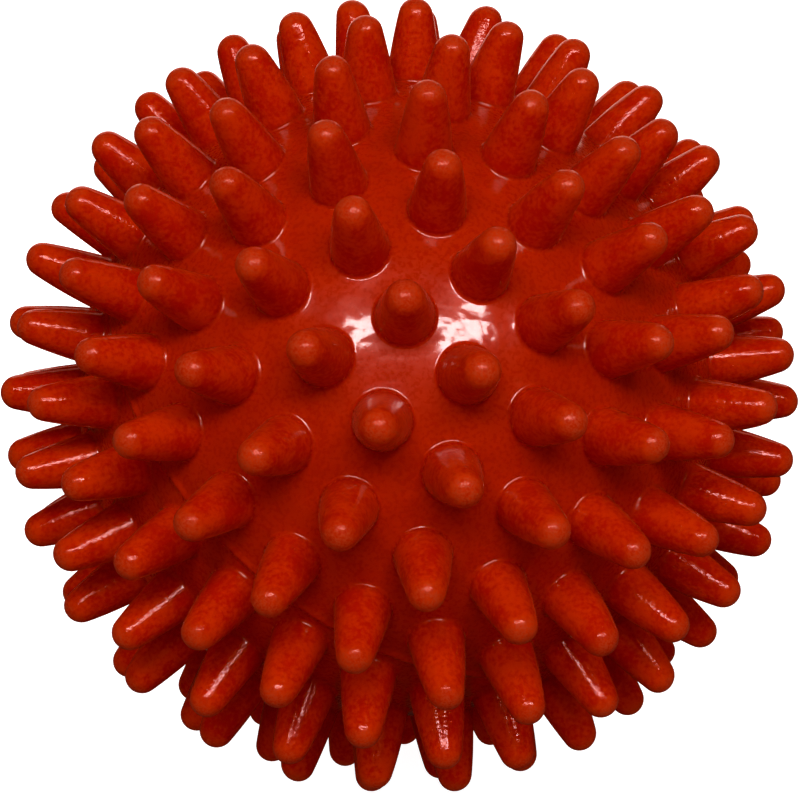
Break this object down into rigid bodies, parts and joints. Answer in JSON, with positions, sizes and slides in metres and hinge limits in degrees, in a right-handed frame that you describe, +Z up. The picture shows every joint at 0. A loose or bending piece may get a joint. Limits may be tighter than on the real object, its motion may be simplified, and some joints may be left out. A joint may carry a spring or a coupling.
{
  "type": "massage ball",
  "caption": "Hollow soft-plastic massage ball covered in bullet-shaped spikes with round tips set in rings, with a flush plug valve for inflating it.",
  "frame": {"origin": "centre of the ball", "axes": "+Z up as the ball stands on three spike tips, +X to the right of the viewer; the moulding axis leans over by about 47 degrees, its upper pole towards +X -Y +Z"},
  "size_m": [0.0896, 0.0892, 0.0893],
  "materials": {
    "ball_plastic": "glossy soft PVC, slightly translucent red-orange, with faintly frosted spike tips",
    "valve_plastic": "glossy soft PVC, a little darker than the ball",
    "plug_plastic": "satin PVC, darker red"
  },
  "bodies": {
    "ball": {"upper_shell": "ball_plastic", "lower_shell": "ball_plastic", "valve_seat": "valve_plastic"},
    "plug": {"valve_plug": "plug_plastic"}
  },
  "joints": [
    {"name": "plug_pull", "type": "slide", "parent": "ball", "child": "plug", "axis": [-0.5237, 0.5057, -0.6856], "range_m": [0, 0.0095]}
  ]
}
